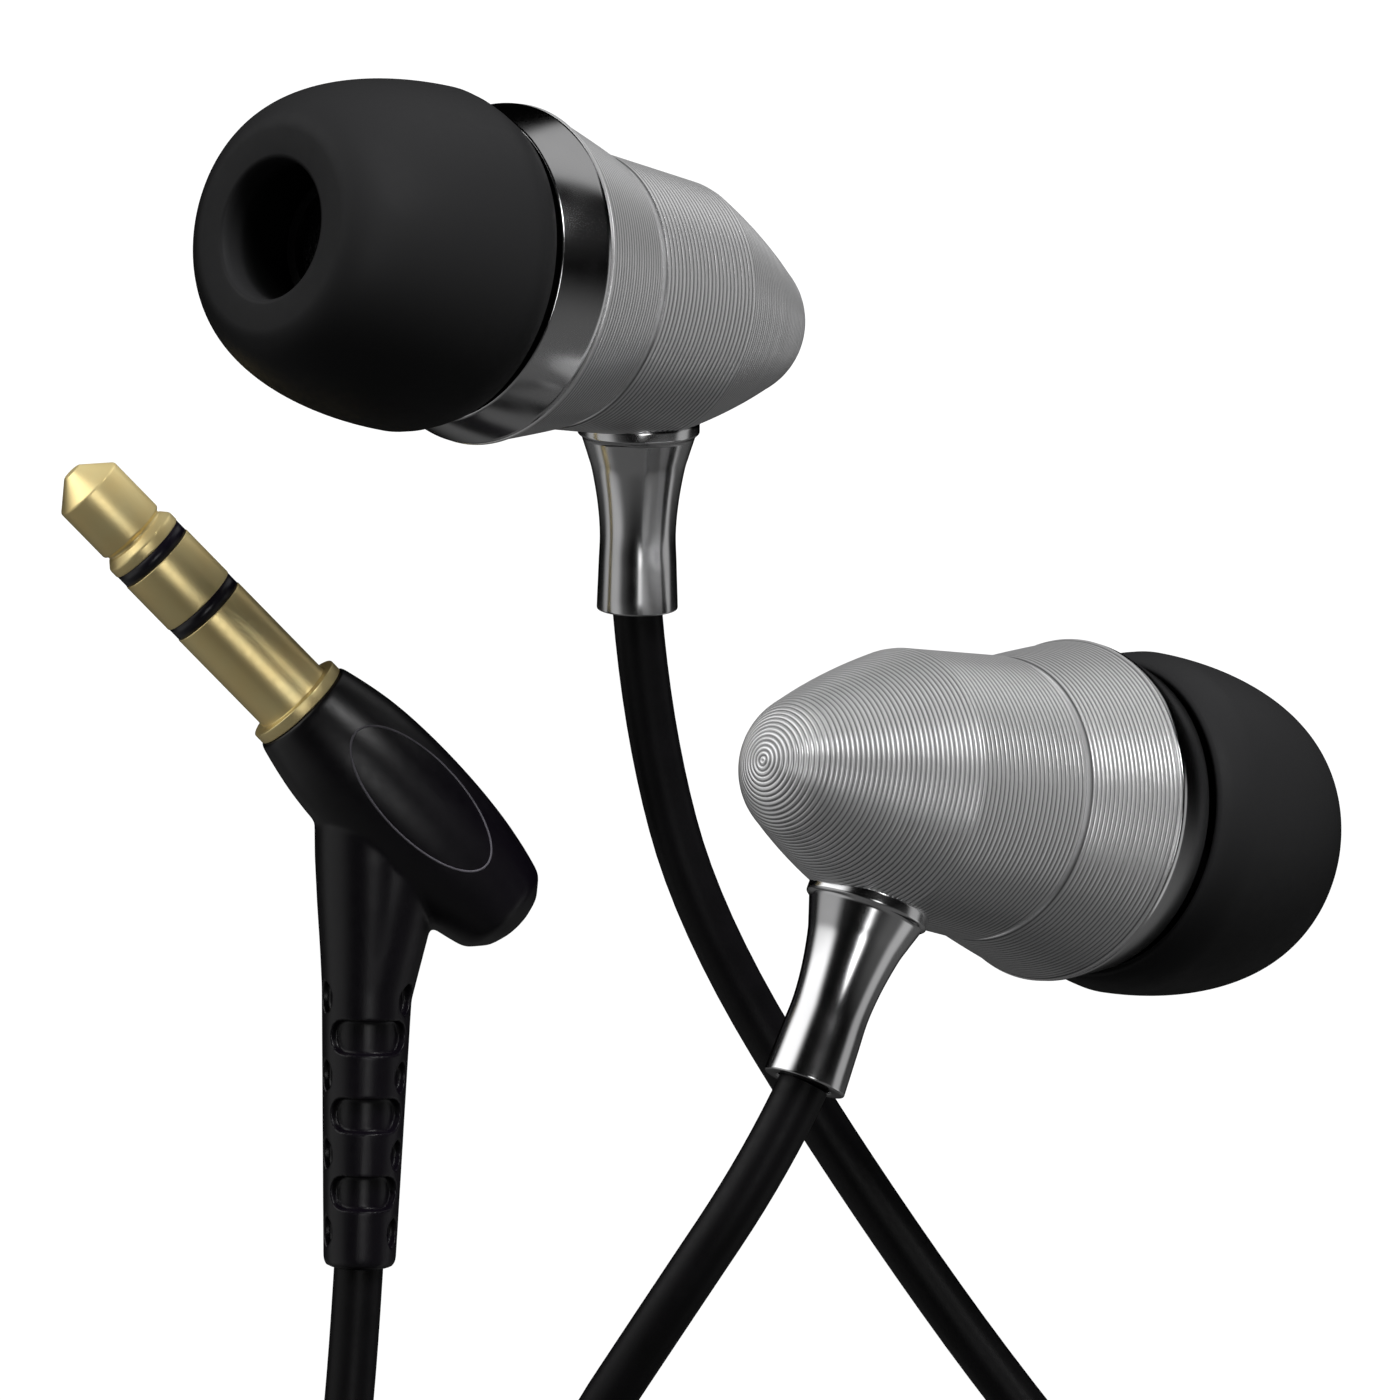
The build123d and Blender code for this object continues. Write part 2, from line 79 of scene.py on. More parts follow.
def frame_matrix(origin, z_dir, y_hint):
    """Matrix of a frame with that origin, z direction and rough y direction."""
    z = Vector(z_dir).normalized()
    x = Vector(y_hint).cross(z).normalized()
    y = z.cross(x)
    rows = Matrix((x, y, z)).transposed().to_4x4()
    rows.translation = origin
    return rows


def joint_axis(name):
    """Direction of a joint in the record."""
    for joint in frame["record"]["behaviour"]["joints"]:
        if joint["name"] == name:
            return Vector(joint["axis"]).normalized()
    raise KeyError(name)


MESH_AT = 8.475 * MM       # from the rim to the middle of the nozzle's mesh
STEM_Z = -8.7 * MM         # from the rim to where the stem's axis crosses
STEM_END = 13.1            # from the housing's axis to the stem's end, mm


def ear_frames(side):
    """Frames of the housing and of the stem, and the way the stem points."""
    axis = joint_axis(side + "_tip_pull")
    rim = node_centre(side + "_nozzle_mesh") - axis * MESH_AT
    base = rim + axis * STEM_Z
    stem_dir = (node_centre(side + "_stem_cord") - base).normalized()
    housing = frame_matrix(rim, axis, -stem_dir)
    stem = frame_matrix(base, stem_dir, axis)
    return housing, stem


EARS = {side: ear_frames(side) for side in SIDES}
MOUNT_AT = 5.2             # from the collar's foot to the place of the jack's mount, mm
jack_mount = next(m for m in frame["record"]["mounts"] if m["name"] == "stereo_jack")
JACK_DIR = Vector(jack_mount["axis"]).normalized()
COLLAR_AT = Vector(jack_mount["pos_m"]) - JACK_DIR * MOUNT_AT * MM
JACK = frame_matrix(COLLAR_AT, JACK_DIR, Vector((0, 0, 1)))
BARREL = frame_matrix(COLLAR_AT, -JACK_DIR, Vector((0, 0, 1)))
# The strain relief's middle line, from inside the barrel to its end.
RELIEF_TOP = Vector((-16.96, -7.8, 4.0)) * MM
RELIEF_END = Vector((-17.61, -28.7, 1.75)) * MM
RELIEF_DIR = (RELIEF_END - RELIEF_TOP).normalized()
RELIEF = frame_matrix(RELIEF_TOP, RELIEF_DIR, Vector((0, 0, 1)))
RELIEF_L = (RELIEF_END - RELIEF_TOP).length / MM

# ---------------------------------------------------------------- camera
CAMERA_HEIGHT = 0.400
VIEW_WIDTH = 0.0599
VIEW_CENTRE = (-0.0031, -0.0046)
SENSOR_MM = 36.0


def add_camera():
    """Camera looking straight down; at z = 0 its picture is VIEW_WIDTH across."""
    data = bpy.data.cameras.new("camera")
    data.sensor_width = SENSOR_MM
    data.lens = SENSOR_MM * CAMERA_HEIGHT / VIEW_WIDTH
    data.clip_start = 0.01
    camera = bpy.data.objects.new("camera", data)
    camera.location = (*VIEW_CENTRE, CAMERA_HEIGHT)
    bpy.context.scene.collection.objects.link(camera)
    bpy.context.scene.camera = camera


add_camera()

# ---------------------------------------------------------------- material helpers


class Shader:
    """A Principled material built up socket by socket."""

    def __init__(self, name, **sockets):
        self.material = bpy.data.materials.new(name)
        self.material.use_nodes = True
        self.tree = self.material.node_tree
        self.shader = self.tree.nodes["Principled BSDF"]
        self.coords = self.add("ShaderNodeTexCoord").outputs["Object"]
        for socket, value in sockets.items():
            self.shader.inputs[socket.replace("_", " ")].default_value = value

    def add(self, kind, **values):
        node = self.tree.nodes.new(kind)
        for key, value in values.items():
            setattr(node, key, value)
        return node

    def link(self, source, target):
        self.tree.links.new(source, target)

    def noise(self, scale, detail=4.0, stretch=(1, 1, 1)):
        """Noise over the object's own coordinates, in metres."""
        mapping = self.add("ShaderNodeMapping")
        mapping.inputs["Scale"].default_value = stretch
        self.link(self.coords, mapping.inputs["Vector"])
        noise = self.add("ShaderNodeTexNoise")
        noise.inputs["Scale"].default_value = scale
        noise.inputs["Detail"].default_value = detail
        self.link(mapping.outputs["Vector"], noise.inputs["Vector"])
        return noise.outputs["Fac"]

    def ramp(self, factor, low, high, start=0.3, end=0.7):
        """Colour or value between low and high as factor goes from start to end."""
        ramp = self.add("ShaderNodeMapRange")
        ramp.inputs["From Min"].default_value = start
        ramp.inputs["From Max"].default_value = end
        ramp.inputs["To Min"].default_value = low
        ramp.inputs["To Max"].default_value = high
        self.link(factor, ramp.inputs["Value"])
        return ramp.outputs["Result"]

    def tint(self, factor, dark, light, start=0.3, end=0.7):
        """Base colour that varies between dark and light."""
        ramp = self.add("ShaderNodeValToRGB")
        ramp.color_ramp.elements[0].position = start
        ramp.color_ramp.elements[1].position = end
        ramp.color_ramp.elements[0].color = (*dark, 1)
        ramp.color_ramp.elements[1].color = (*light, 1)
        self.link(factor, ramp.inputs["Fac"])
        self.link(ramp.outputs["Color"], self.shader.inputs["Base Color"])

    def roughness(self, factor, low, high):
        self.link(self.ramp(factor, low, high), self.shader.inputs["Roughness"])

    def bump(self, factor, height, strength=1.0):
        """Bump of that height in metres; later bumps stack on earlier ones."""
        bump = self.add("ShaderNodeBump")
        bump.inputs["Distance"].default_value = height
        bump.inputs["Strength"].default_value = strength
        self.link(factor, bump.inputs["Height"])
        below = self.shader.inputs["Normal"]
        if below.is_linked:
            self.link(below.links[0].from_socket, bump.inputs["Normal"])
        self.link(bump.outputs["Normal"], below)

    def painted_shade_depth(self):
        """How deep each place lies in a groove or a bore, from 0 to 1; the materials darken by it as painted
        shade.
        """
        return self.add("ShaderNodeAttribute", attribute_name="painted_shade_depth").outputs["Fac"]

    def rings(self, pitch):
        """Turned grooves about local Z: a wave over radius plus height, of that pitch in metres."""
        parts = self.add("ShaderNodeSeparateXYZ")
        self.link(self.coords, parts.inputs["Vector"])
        flat = self.add("ShaderNodeCombineXYZ")
        self.link(parts.outputs["X"], flat.inputs["X"])
        self.link(parts.outputs["Y"], flat.inputs["Y"])
        radius = self.add("ShaderNodeVectorMath", operation="LENGTH")
        self.link(flat.outputs["Vector"], radius.inputs[0])
        lead = self.add("ShaderNodeMath", operation="SUBTRACT")
        self.link(parts.outputs["Z"], lead.inputs[0])
        self.link(radius.outputs["Value"], lead.inputs[1])
        turns = self.add("ShaderNodeMath", operation="MULTIPLY")
        turns.inputs[1].default_value = 2 * math.pi / pitch
        self.link(lead.outputs["Value"], turns.inputs[0])
        wave = self.add("ShaderNodeMath", operation="SINE")
        self.link(turns.outputs["Value"], wave.inputs[0])
        return wave.outputs["Value"]


def turned_aluminium():
    """Not fully metallic, so that the key light, which has no reflection, shows on it."""
    made = Shader("turned_aluminium", Metallic=0.87, IOR=1.5)
    # Painted shade: the base colour is light grey on the ribs' tops and dark grey down in their valleys.
    made.tint(made.painted_shade_depth(), (0.80, 0.80, 0.805), (0.20, 0.20, 0.205), start=0.1, end=0.9)
    made.roughness(made.noise(1500, detail=2), 0.32, 0.37)
    made.bump(made.rings(0.085 * MM), 0.002 * MM, 0.4)
    return made.material


def chrome():
    made = Shader("chrome", Metallic=1.0)
    made.tint(made.noise(300), (0.66, 0.66, 0.665), (0.70, 0.70, 0.705))
    made.roughness(made.noise(900), 0.16, 0.19)
    made.bump(made.noise(4000), 0.0003 * MM, 0.2)
    return made.material


def silicone():
    made = Shader("silicone", IOR=1.41, Specular_IOR_Level=0.14)
    # Painted shade: the base colour goes darker still in the bore and other deep places.
    made.tint(made.painted_shade_depth(), (0.0088, 0.0088, 0.0091), (0.0015, 0.0015, 0.0015), start=0.0, end=1.0)
    made.roughness(made.noise(1800, detail=5), 0.45, 0.52)
    made.bump(made.noise(9000, detail=3), 0.003 * MM, 0.2)
    return made.material


def cord_rubber():
    made = Shader("cord_rubber", IOR=1.43, Specular_IOR_Level=0.25)
    made.tint(made.noise(500), (0.0014, 0.0013, 0.0015), (0.0024, 0.0022, 0.0026))
    made.roughness(made.noise(3000, detail=5), 0.42, 0.5)
    made.bump(made.noise(7000, detail=4), 0.004 * MM, 0.25)
    return made.material


def handle_rubber():
    made = Shader("handle_rubber", IOR=1.47, Specular_IOR_Level=0.45)
    made.tint(made.noise(300), (0.0013, 0.0009, 0.0018), (0.0022, 0.0016, 0.0029))
    made.roughness(made.noise(2500, detail=5), 0.32, 0.38)
    made.bump(made.noise(11000, detail=3), 0.002 * MM, 0.2)
    return made.material


def gold():
    """Not fully metallic, for the same reason as the aluminium."""
    made = Shader("gold", Metallic=0.74, IOR=1.5)
    made.tint(made.noise(500), (1.0, 0.78, 0.35), (1.0, 0.84, 0.42))
    made.roughness(made.noise(2000, stretch=(1, 1, 5)), 0.32, 0.38)
    made.bump(made.rings(0.05 * MM), 0.0008 * MM, 0.4)
    return made.material


def insulator_black():
    made = Shader("insulator_black", IOR=1.5)
    made.tint(made.noise(600), (0.003, 0.002, 0.005), (0.006, 0.005, 0.009))
    made.roughness(made.noise(2000), 0.28, 0.36)
    made.bump(made.noise(8000), 0.001 * MM, 0.2)
    return made.material


def trim_grey():
    made = Shader("trim_grey", IOR=1.5)
    made.tint(made.noise(900), (0.045, 0.042, 0.05), (0.07, 0.066, 0.078))
    made.roughness(made.noise(2000), 0.3, 0.4)
    made.bump(made.noise(8000), 0.001 * MM, 0.2)
    return made.material


def black_plastic():
    made = Shader("black_plastic", IOR=1.5)
    made.tint(made.noise(500), (0.006, 0.006, 0.0065), (0.010, 0.010, 0.0105))
    made.roughness(made.noise(2500), 0.4, 0.55)
    made.bump(made.noise(9000), 0.003 * MM, 0.3)
    return made.material


def woven_mesh():
    made = Shader("woven_mesh", Metallic=1.0)
    made.tint(made.noise(900), (0.012, 0.012, 0.012), (0.03, 0.03, 0.03))
    made.roughness(made.noise(2500), 0.4, 0.55)
    cells = made.add("ShaderNodeTexVoronoi", feature="F1")
    cells.inputs["Scale"].default_value = 7000
    made.link(made.coords, cells.inputs["Vector"])
    made.bump(cells.outputs["Distance"], 0.05 * MM, 1.0)
    return made.material


def plain_metal(name, dark, light, rough):
    made = Shader(name, Metallic=1.0)
    made.tint(made.noise(700), dark, light)
    made.roughness(made.noise(2200), rough, rough + 0.12)
    made.bump(made.noise(8000), 0.002 * MM, 0.3)
    return made.material


def plain_plastic(name, dark, light, rough):
    made = Shader(name, IOR=1.5)
    made.tint(made.noise(800), dark, light)
    made.roughness(made.noise(2500), rough, rough + 0.15)
    made.bump(made.noise(9000), 0.004 * MM, 0.4)
    return made.material


MATERIALS = {
    "shell": turned_aluminium(),
    "chrome": chrome(),
    "tip_rubber": silicone(),
    "nozzle_plastic": black_plastic(),
    "steel": plain_metal("steel", (0.45, 0.45, 0.45), (0.6, 0.6, 0.6), 0.25),
    "frame_steel": plain_metal("frame_steel", (0.4, 0.4, 0.4), (0.55, 0.55, 0.55), 0.3),
    "magnet": plain_metal("magnet", (0.5, 0.5, 0.52), (0.62, 0.62, 0.64), 0.18),
    "copper": plain_metal("copper", (0.62, 0.25, 0.12), (0.78, 0.38, 0.22), 0.25),
    "film": plain_plastic("film", (0.55, 0.52, 0.42), (0.68, 0.65, 0.55), 0.15),
    "board": plain_plastic("board", (0.02, 0.13, 0.05), (0.03, 0.2, 0.08), 0.3),
    "felt": plain_plastic("felt", (0.65, 0.65, 0.62), (0.8, 0.8, 0.77), 0.8),
    "cord_sheath": cord_rubber(),
    "handle_rubber": handle_rubber(),
    "trim": trim_grey(),
    "insulator": insulator_black(),
    "gold": gold(),
    "tie": plain_plastic("tie", (0.014, 0.014, 0.015), (0.025, 0.025, 0.026), 0.4),
}
MESH_MATERIAL = woven_mesh()
SLOT_OF = {s["node"]: s["material_slot"] for s in frame["record"]["subparts"]}


def finish_piece(piece, body, slot_name, replaced=(), material=None):
    """Give a new piece its body and the material of its record slot."""
    piece.data.materials.clear()
    piece.data.materials.append(material or MATERIALS[slot_name])
    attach(piece, body)
    if replaced:
        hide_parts(*replaced)
    return piece


# ---------------------------------------------------------------- mesh helpers


def add_mesh(name, verts, faces, place=None):
    mesh = bpy.data.meshes.new(name)
    mesh.from_pydata(verts, [], faces)
    mesh.validate()
    mesh.shade_smooth()
    piece = bpy.data.objects.new(name, mesh)
    bpy.context.scene.collection.objects.link(piece)
    if place is not None:
        piece.matrix_world = place
    return piece


def lathe(name, outline, place, segments=160, closed=False):
    """Piece turned about local Z from (radius, height) points in millimetres.

    A third number on a point says how deep it lies in a groove or a bore, from 0 to 1, for the materials'
    painted shade.
    """
    verts, rings, faces, painted_shade_depth = [], [], [], []
    for radius, height, *depth in outline:
        count = segments if radius > 1e-6 else 1
        painted_shade_depth += (depth or [0.0]) * count
        rings.append(range(len(verts), len(verts) + count))
        for k in range(count):
            turn = 2 * math.pi * k / segments
            verts.append((radius * MM * math.cos(turn), radius * MM * math.sin(turn), height * MM))
    pairs = list(zip(rings, rings[1:]))
    if closed:
        pairs.append((rings[-1], rings[0]))
    for low, high in pairs:
        for k in range(segments):
            after = (k + 1) % segments
            below = [low[k % len(low)], low[after % len(low)]]
            above = [high[after % len(high)], high[k % len(high)]]
            face = list(dict.fromkeys(below + above))
            if len(face) > 2:
                faces.append(face)
    piece = add_mesh(name, verts, faces, place)
    piece.data.attributes.new("painted_shade_depth", "FLOAT", "POINT").data.foreach_set("value", painted_shade_depth)
    return piece


def soften(corners, radius, closed=False, steps=5):
    """Outline with each corner rounded by a short curve."""
    most = 0.45            # of a side's length, for each of its two corners
    last = len(corners) - 1
    result = []
    for i, corner in enumerate(corners):
        here = Vector(corner)
        if not closed and i in (0, last):
            result.append(tuple(here))
            continue
        before = Vector(corners[i - 1]) - here
        after = Vector(corners[(i + 1) % len(corners)]) - here
        reach = min(radius, most * before.length, most * after.length)
        start = here + before.normalized() * reach
        end = here + after.normalized() * reach
        for k in range(steps + 1):
            t = k / steps
            result.append(tuple(start * (1 - t) ** 2 + here * 2 * t * (1 - t) + end * t ** 2))
    return result


def smooth_line(points, steps):
    """Smooth curve through every point, with some steps between each two."""
    ends = [Vector(points[0]) * 2 - Vector(points[1])] + [Vector(p) for p in points]
    ends.append(Vector(points[-1]) * 2 - Vector(points[-2]))
    result = []
    for a, b, c, d in zip(ends, ends[1:], ends[2:], ends[3:]):
        for k in range(steps):
            t = k / steps
            curve = b * 2 + (c - a) * t + (a * 2 - b * 5 + c * 4 - d) * t ** 2
            curve += (b * 3 - a - c * 3 + d) * t ** 3
            result.append(tuple(curve / 2))
    result.append(tuple(points[-1]))
    return result


def ribbed(line, pitch, depth, per_rib=6):
    """The line cut with round-topped ribs: resampled by length and pushed in at each valley."""
    squareness = 0.7
    points = [Vector(p) for p in line]
    lengths = [0.0]
    for a, b in zip(points, points[1:]):
        lengths.append(lengths[-1] + (b - a).length)
    count = max(1, round(lengths[-1] / pitch)) * per_rib
    result, leg = [], 0
    for k in range(count + 1):
        along = lengths[-1] * k / count
        while leg < len(points) - 2 and along > lengths[leg + 1]:
            leg += 1
        share = (along - lengths[leg]) / (lengths[leg + 1] - lengths[leg])
        here = points[leg].lerp(points[leg + 1], min(1.0, share))
        ahead = (points[leg + 1] - points[leg]).normalized()
        outward = Vector((ahead.y, -ahead.x))
        valley = 1 - abs(math.sin(math.pi * k / per_rib)) ** squareness
        here = here - outward * depth * valley
        # The third number, the valley's depth, sets the painted shade in the grooves.
        result.append((max(0.0, here.x), here.y, valley))
    return result


# ---------------------------------------------------------------- earphones
RIB_DEPTH = 0.05
WAIST_DEPTH = RIB_DEPTH * 0.8
FRONT_DEPTH = RIB_DEPTH * 0.7
CONE_PITCH = 0.215
WAIST_PITCH = 0.235
FRONT_PITCH = 0.2


def rear_shell(side, place):
    """Turned tail: rounded nose, cone and waist, with fine ribs right round."""
    nose_r, nose_z, slope = 3.3, -14.0, math.radians(65)
    steps = 12
    nose = []
    for k in range(steps + 1):
        turn = slope * k / steps
        nose.append((nose_r * math.sin(turn), nose_z - nose_r * math.cos(turn)))
    start, kink, swell = Vector(nose[-1]), Vector((5.5, -10.1)), Vector((0.10, -0.07))
    cone = []
    for k in range(1, steps + 1):
        t = k / steps
        cone.append(tuple(start.lerp(kink, t) + swell * 4 * t * (1 - t)))
    tail = ribbed(nose + cone, CONE_PITCH, RIB_DEPTH)
    waist = ribbed([tuple(kink), (5.9, -4.45)], WAIST_PITCH, WAIST_DEPTH)
    inside = [(5.78, -4.38), (5.05, -4.38), (4.6, -10.1), (2.4, -15.3), (0, -16.3)]
    outline = [(0, tail[0][1])] + tail[1:] + waist[1:] + inside
    piece = lathe(side + "_rear_shell_ribbed", outline, place)
    return finish_piece(piece, ROOT, "shell", [side + "_rear_shell"])


def front_shell(side, place):
    """Flared ring between the seam and the rim, with a small bead at the rim."""
    seam_r, seam_z, wider, length, bow = 5.92, -4.12, 1.13, 3.92, 0.92
    steps = 8
    flare = [(seam_r, seam_z)]
    for k in range(1, steps + 1):
        t = k / steps
        flare.append((seam_r + wider * t ** bow, seam_z + length * t))
    ribs = ribbed(flare, FRONT_PITCH, FRONT_DEPTH)
    bead = [(7.11, -0.17), (7.14, -0.1), (7.13, -0.03), (6.95, -0.01)]
    inside = [(5.75, -0.03), (5.7, -1.0), (5.15, -2.0), (4.6, -2.4)]
    inside += [(4.6, -5.5), (4.85, -5.5), (4.85, -4.2), (5.8, -4.2)]
    piece = lathe(side + "_front_shell_ribbed", ribs + bead + inside, place, closed=True)
    return finish_piece(piece, ROOT, "shell", [side + "_front_shell"])


def bezel_ring(side, place):
    """Polished ring between the housing and the ear tip."""
    corners = [(7.1, 0.0), (7.12, 0.22), (6.52, 2.3), (5.95, 2.3), (5.95, 0.55), (5.72, 0.0)]
    outline = soften(corners, 0.1, closed=True)
    piece = lathe(side + "_bezel_polished", outline, place, segments=256, closed=True)
    return finish_piece(piece, ROOT, "chrome", [side + "_bezel_ring"])


def ear_tip(side, place):
    """Silicone mushroom with a flat face, a bore and a hollow skirt."""
    widest_z = 4.4

    def crown(widest, face, top, count):
        """Quarter ellipse from the skirt's widest place up to the face's edge."""
        points = []
        for k in range(count + 1):
            turn = math.pi / 2 * k / count
            radius = face + (widest - face) * math.cos(turn)
            points.append((radius, widest_z + (top - widest_z) * math.sin(turn)))
        return points

    outside = crown(7.2, 4.1, 12.5, 40)
    inside = crown(6.62, 3.9, 11.8, 24)
    face_edge = soften([(4.1, 12.5), (2.95, 12.5), (2.83, 12.2), (2.83, 11.6)], 0.22)
    # The third numbers mark the bore as deep, where the silicone gets painted shade.
    face_edge += [(2.83, 11.3, 0.7), (2.83, 10.8, 1.0), (2.83, 3.35, 1.0), (3.62, 3.35), (3.62, 11.3)]
    lip = [(6.3, 2.95), (6.42, 2.78), (6.6, 2.74), (6.74, 2.86), (6.95, 3.4), (7.12, 3.95)]
    outline = outside[:-1] + face_edge + inside[::-1] + [(6.5, 3.7)] + lip
    piece = lathe(side + "_ear_tip_silicone", outline, place, segments=192, closed=True)
    return finish_piece(piece, side + "_tip", "tip_rubber", [side + "_ear_tip"])


def stem_tube(side, place):
    """Polished trumpet stem with a thin collar band and a rolled end."""
    collar = soften([(1.2, 4.9), (2.5, 4.9), (2.58, 5.08), (2.58, 5.5), (2.46, 5.6)], 0.06)
    waist = [(2.42, 5.61), (2.14, 6.48), (1.95, 7.15), (1.72, 8.48), (1.61, 9.8), (1.65, 11.1), (1.70, 12.5)]
    mouth = soften([(1.70, 12.5), (1.72, STEM_END), (1.15, STEM_END), (1.15, 12.0)], 0.1)
    outline = collar + smooth_line(waist, 6) + mouth[1:] + [(1.15, 5.0)]
    piece = lathe(side + "_stem_polished", outline, place, segments=192, closed=True)
    return finish_piece(piece, ROOT, "chrome", [side + "_stem_tube"])


def build_earphones():
    for side in SIDES:
        housing, stem = EARS[side]
        rear_shell(side, housing)
        front_shell(side, housing)
        bezel_ring(side, housing)
        ear_tip(side, housing)
        stem_tube(side, stem)


# ---------------------------------------------------------------- plug


def build_jack():
    """Gold contacts and the black rings between them; returns the pieces."""
    sleeve = soften([(1.2, 0.0), (2.25, 0.0), (2.25, 0.5), (1.75, 0.5), (1.75, 5.7), (1.2, 5.7)], 0.06, True)
    ring = soften([(1.2, 6.3), (1.75, 6.3), (1.75, 8.85), (1.2, 8.85)], 0.05, True)
    tip = [(0.0, 9.42), (1.2, 9.42)] + soften([
        (1.2, 9.42), (1.75, 9.42), (1.75, 9.85), (1.5, 10.15), (1.42, 10.2), (1.42, 10.32),
        (1.56, 10.42), (1.56, 13.0), (0.42, 14.0), (0.0, 14.0),
    ], 0.08)
    bands = [(1.2, 5.65), (1.72, 5.65), (1.72, 6.35), (1.3, 6.35), (1.3, 8.8), (1.72, 8.8), (1.72, 9.45)]
    bands += [(1.2, 9.45)]
    outlines = {
        "jack_sleeve": (sleeve, "gold", True), "jack_ring": (ring, "gold", True),
        "jack_tip": (tip, "gold", False), "jack_insulators": (bands, "insulator", True),
    }
    made = []
    for node, (outline, slot_name, closed) in outlines.items():
        piece = lathe(node + "_turned", outline, JACK, segments=160, closed=closed)
        made.append(finish_piece(piece, ROOT, slot_name, [node]))
    return made


def barrel_outline():
    """Half outline of the handle's barrel from the collar to its bevelled end."""
    side = [(2.35, 0.0), (2.62, 1.1), (2.87, 2.4), (3.02, 3.9), (3.07, 5.8), (3.0, 7.8), (2.82, 9.6)]
    side = smooth_line(side + [(2.55, 11.1), (2.3, 12.1)], 3)
    end = [(2.18, 12.35), (1.5, 12.95), (0.8, 13.2), (0.0, 13.25)]
    return [(0.0, 0.0)] + side + end


# The slotted part of the strain relief, mm: where it starts, and its radius there.
SLOTTED_FROM = 9.0
SLOTTED_R = 1.93
TAPER = 0.39
SLOT_PITCH = 3.35
SLOT_HEIGHT = 1.45
SLOT_DEPTH = 0.36
WIDE_SLOTS = (82, 262)             # middles of the slots above and below, degrees round the relief
SIDE_NOTCHES = (26, 154, 206, 334)
WIDE_SPREAD = 118
NOTCH_SPREAD = 30


def relief_radius(along):
    """Radius of the slotted part of the strain relief, mm."""
    return SLOTTED_R - TAPER * (along - SLOTTED_FROM) / (RELIEF_L - SLOTTED_FROM)


def relief_outline():
    """Half outline of the strain relief from inside the barrel to its end."""
    end = RELIEF_L
    return [
        (0.0, 0.0), (2.45, 0.0), (2.44, 1.5), (2.37, 3.5), (2.22, 5.5), (2.04, 7.5),
        (SLOTTED_R, SLOTTED_FROM), (1.55, end - 0.3), (1.46, end - 0.06), (1.3, end), (0.0, end),
    ]


def wrapped_slot(middle, spread, along, height):
    """Slot cutter bent round the strain relief, with half-round ends, as verts and faces."""
    radius = relief_radius(along)
    steps, reach = 20, math.radians(spread) / 2
    thinnest, clear = 0.03, 0.8
    cap = height / 2 / radius
    verts, faces = [], []
    for k in range(steps + 1):
        t = -math.cos(math.pi * k / steps)
        turn = t * reach
        past = max(0.0, abs(turn) - (reach - cap)) / cap
        half = max(thinnest, height / 2 * math.sqrt(max(0.0, 1 - past ** 2)))
        where = math.radians(middle) + turn
        for out in (radius - SLOT_DEPTH, radius + clear):
            for z in (along - half, along + half):
                verts.append((out * math.cos(where) * MM, out * math.sin(where) * MM, z * MM))
    for k in range(steps):
        a, b = 4 * k, 4 * k + 4
        faces += [[a, b, b + 1, a + 1], [a + 2, a + 3, b + 3, b + 2]]
        faces += [[a, a + 2, b + 2, b], [a + 1, b + 1, b + 3, a + 3]]
    last = 4 * steps
    faces += [[0, 1, 3, 2], [last, last + 2, last + 3, last + 1]]
    return verts, faces


def face_outwards(mesh):
    """Turn every face of a closed mesh outwards."""
    work = bmesh.new()
    work.from_mesh(mesh)
    bmesh.ops.recalc_face_normals(work, faces=work.faces)
    work.to_mesh(mesh)
    work.free()


def combine(target, other, operation):
    """Boolean of two meshes, applied at once; the other piece is removed."""
    modifier = target.modifiers.new("cut", "BOOLEAN")
    modifier.operation = operation
    modifier.solver = "EXACT"
    modifier.object = other
    apply_modifiers(target)
    bpy.data.objects.remove(other)


def apply_modifiers(piece):
    """Replace a piece's mesh by what its modifiers make of it."""
    graph = bpy.context.evaluated_depsgraph_get()
    graph.update()
    mesh = bpy.data.meshes.new_from_object(piece.evaluated_get(graph))
    piece.modifiers.clear()
    piece.data = mesh


def remesh_and_smooth(piece, voxel, rounds):
    """Rebuild a piece as one even skin and ease its edges."""
    skin = piece.modifiers.new("skin", "REMESH")
    skin.mode = "VOXEL"
    skin.voxel_size = voxel * MM
    ease = piece.modifiers.new("ease", "SMOOTH")
    ease.factor = 0.5
    ease.iterations = rounds
    apply_modifiers(piece)


def plug_handle():
    """Moulded handle: barrel and strain relief blended together, with staggered slots."""
    handle = lathe("plug_handle_moulded", barrel_outline(), BARREL, segments=96)
    combine(handle, lathe("relief", relief_outline(), RELIEF, segments=96), "UNION")
    web_low = RELIEF @ Vector((1.2 * MM, 0, 3.0 * MM))
    web_high = RELIEF @ Vector((0, 0, 9.4 * MM))
    web_place = frame_matrix(web_low, web_high - web_low, Vector((0, 0, 1)))
    web_l = (web_high - web_low).length / MM
    web = lathe("web", [(0.0, 0.0), (2.15, 0.0), (1.9, web_l), (0.0, web_l)], web_place, segments=64)
    combine(handle, web, "UNION")
    remesh_and_smooth(handle, 0.11, 12)
    wide_from, notch_from = 11.0, 9.4
    slots = [(m, WIDE_SPREAD, wide_from + SLOT_PITCH * row) for row in range(3) for m in WIDE_SLOTS]
    slots += [(m, NOTCH_SPREAD, notch_from + SLOT_PITCH * row) for row in range(4) for m in SIDE_NOTCHES]
    for middle, spread, along in slots:
        verts, faces = wrapped_slot(middle, spread, along, SLOT_HEIGHT)
        cutter = add_mesh("slot", verts, faces, RELIEF)
        face_outwards(cutter.data)
        combine(handle, cutter, "DIFFERENCE")
    remesh_and_smooth(handle, 0.07, 3)
    handle.data.shade_smooth()
    return finish_piece(handle, ROOT, "handle_rubber", ["plug_handle"])


